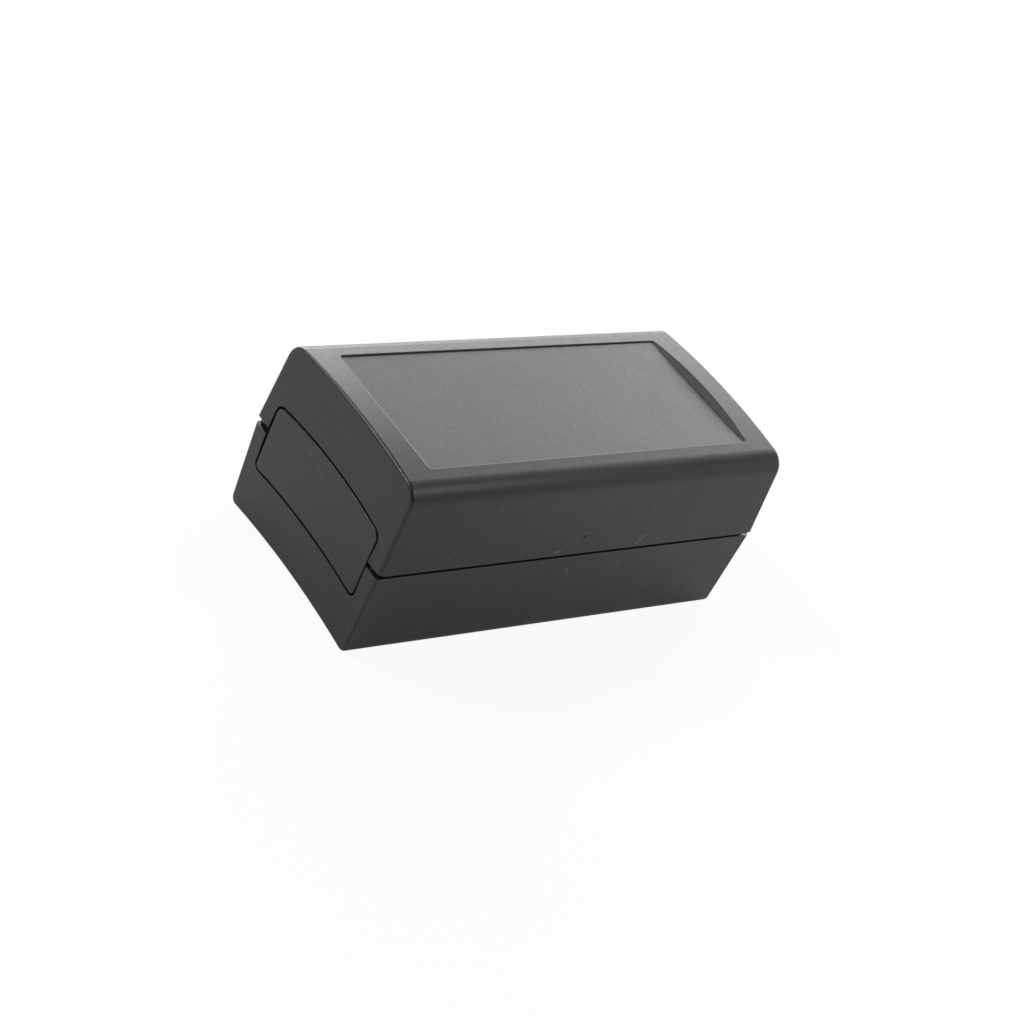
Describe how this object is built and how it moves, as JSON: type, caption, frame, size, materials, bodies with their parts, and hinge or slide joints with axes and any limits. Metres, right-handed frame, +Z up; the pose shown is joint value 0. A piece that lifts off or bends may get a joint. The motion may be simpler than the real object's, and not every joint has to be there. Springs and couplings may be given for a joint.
{
  "type": "plastic project box",
  "caption": "Black plastic electronics enclosure: arched cover with a sunk label field over a deep base, removable panels in both ends, screwed together from below.",
  "frame": {"origin": "on the floor under the middle of the box, which stands on the two long feet of its arched underside", "axes": "+X along the box's length, towards the end that is farther away in the picture; -Y is the long front side in the picture; +Z up, through the cover"},
  "size_m": [0.12, 0.0586, 0.0505],
  "materials": {
    "cover_plastic": "finely textured black ABS, with a smoother sunk field on top",
    "base_plastic": "finely textured black ABS",
    "panel_plastic": "smooth satin black ABS",
    "screw_zinc": "bright zinc-plated steel"
  },
  "bodies": {
    "base": {"base_shell": "base_plastic", "end_panel_left": "panel_plastic", "end_panel_right": "panel_plastic", "screw_front_left": "screw_zinc", "screw_front_right": "screw_zinc", "screw_back_left": "screw_zinc", "screw_back_right": "screw_zinc"},
    "cover": {"cover_shell": "cover_plastic"}
  },
  "joints": [
    {"name": "cover_lift", "type": "slide", "parent": "base", "child": "cover", "axis": [0, 0, 1], "range_m": [0, 0.05]}
  ]
}
